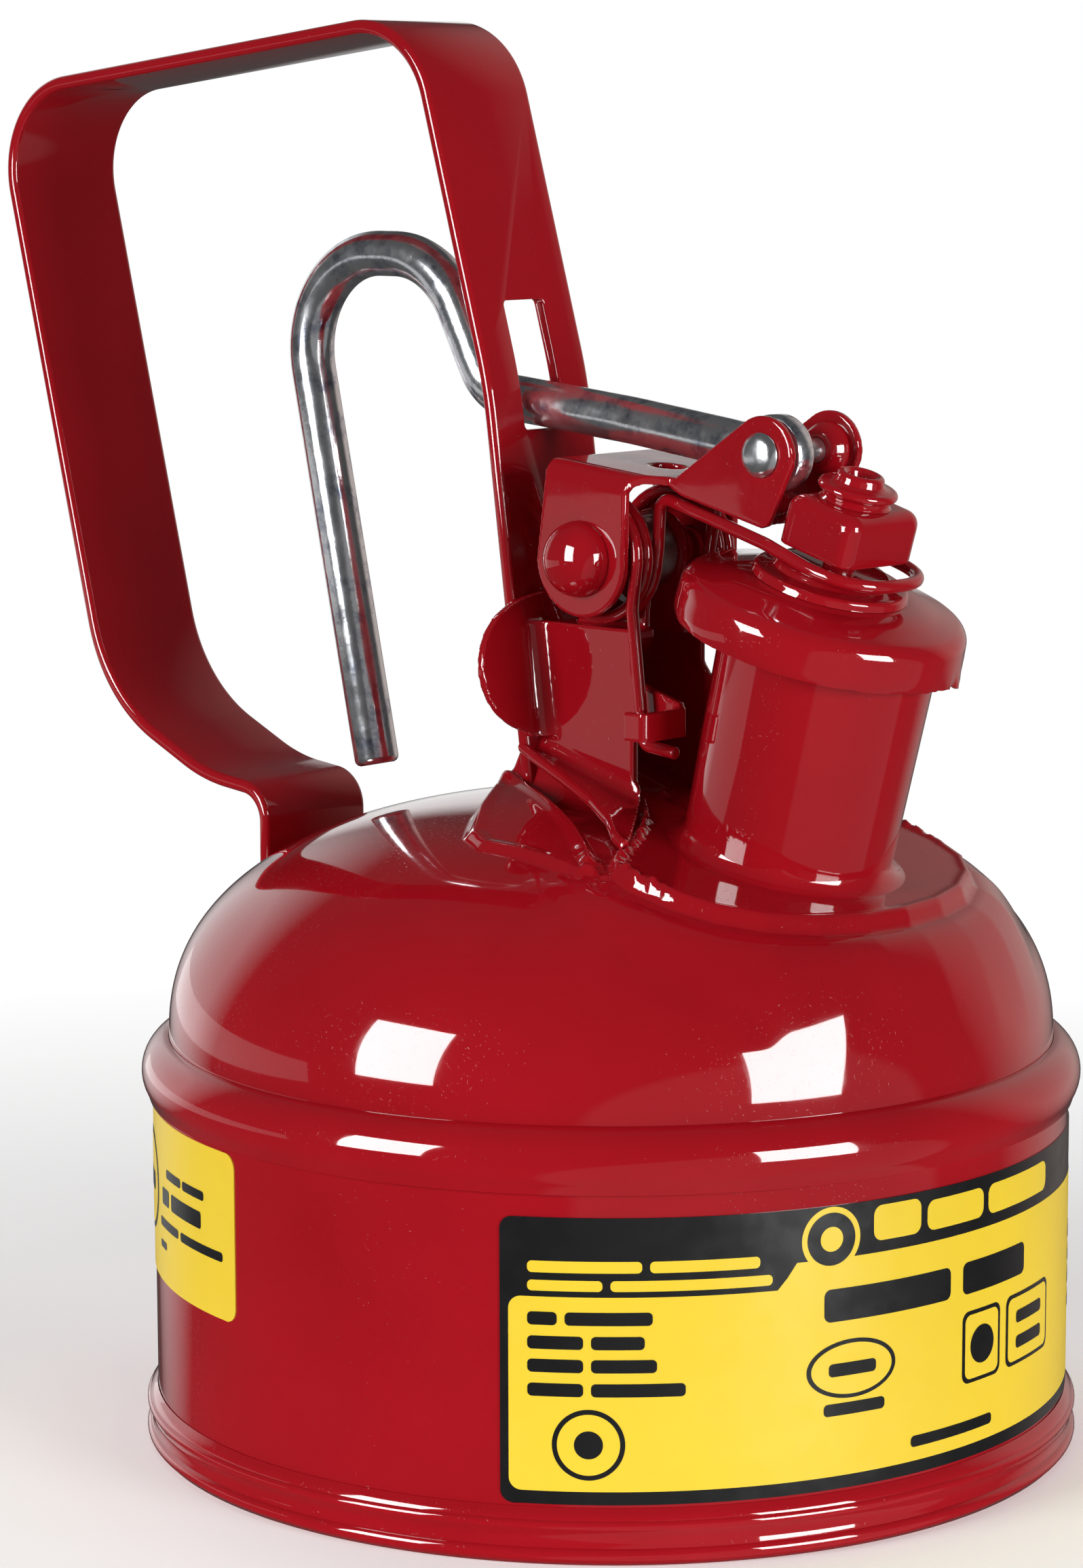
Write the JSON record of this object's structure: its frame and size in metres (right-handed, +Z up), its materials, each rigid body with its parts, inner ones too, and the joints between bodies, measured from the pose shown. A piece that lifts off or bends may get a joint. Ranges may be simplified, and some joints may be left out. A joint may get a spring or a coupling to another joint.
{
  "type": "safety gas can",
  "caption": "Small round steel safety can with a domed top, leaning spout, sprung self-closing cap on a lever, bent trigger rod and flat strap handle.",
  "frame": {"origin": "on the floor, under the middle of the whole object's bounding box; the can's own axis stands 23.2 mm in front of it", "axes": "+X towards the spout, +Z up, +Y to the left of the spout; the can and handle are symmetric about the XZ plane"},
  "size_m": [0.1744, 0.1278, 0.1917],
  "materials": {
    "red_enamel": "glossy red enamel",
    "sleeve_steel": "plain",
    "zinc_rod": "zinc plated, slightly streaked",
    "zinc_pin": "bright zinc",
    "screen_steel": "woven wire",
    "seal_rubber": "matte",
    "label_film": "printed film"
  },
  "bodies": {
    "can": {"can_wall": "red_enamel", "can_top": "red_enamel", "can_bottom": "red_enamel", "shoulder_seam": "red_enamel", "base_seam": "red_enamel", "spout_neck": "red_enamel", "spout_rim": "red_enamel", "spout_fillet": "red_enamel", "flame_screen": "screen_steel", "hinge_bracket": "red_enamel", "hinge_rivet": "red_enamel", "hinge_sleeve": "sleeve_steel", "carry_strap": "red_enamel", "front_label": "label_film", "side_label": "label_film", "cap_spring": "red_enamel"},
    "cap_arm": {"cap_lever": "red_enamel", "spring_saddle": "red_enamel", "cap_rivet": "red_enamel", "cap_boss": "red_enamel", "cap_disc": "red_enamel", "cap_gasket": "seal_rubber", "clevis_pin": "zinc_pin", "pin_collar": "red_enamel"},
    "trigger": {"trigger_rod": "zinc_rod"}
  },
  "joints": [
    {"name": "cap_hinge", "type": "hinge", "parent": "can", "child": "cap_arm", "pos_m": [0.02808, 0, 0.12095], "axis": [0, -1, 0], "range_deg": [0, 35], "stiffness_Nm_per_rad": 0.6, "springref_deg": -34.38, "deforming": ["cap_spring"]},
    {"name": "rod_hinge", "type": "hinge", "parent": "cap_arm", "child": "trigger", "pos_m": [0.05545, 0, 0.13581], "axis": [0, -1, 0], "range_deg": [-24.5, 0]}
  ],
  "couplings": [
    {"joint": "rod_hinge", "follows": "cap_hinge", "ratio": -0.7}
  ]
}
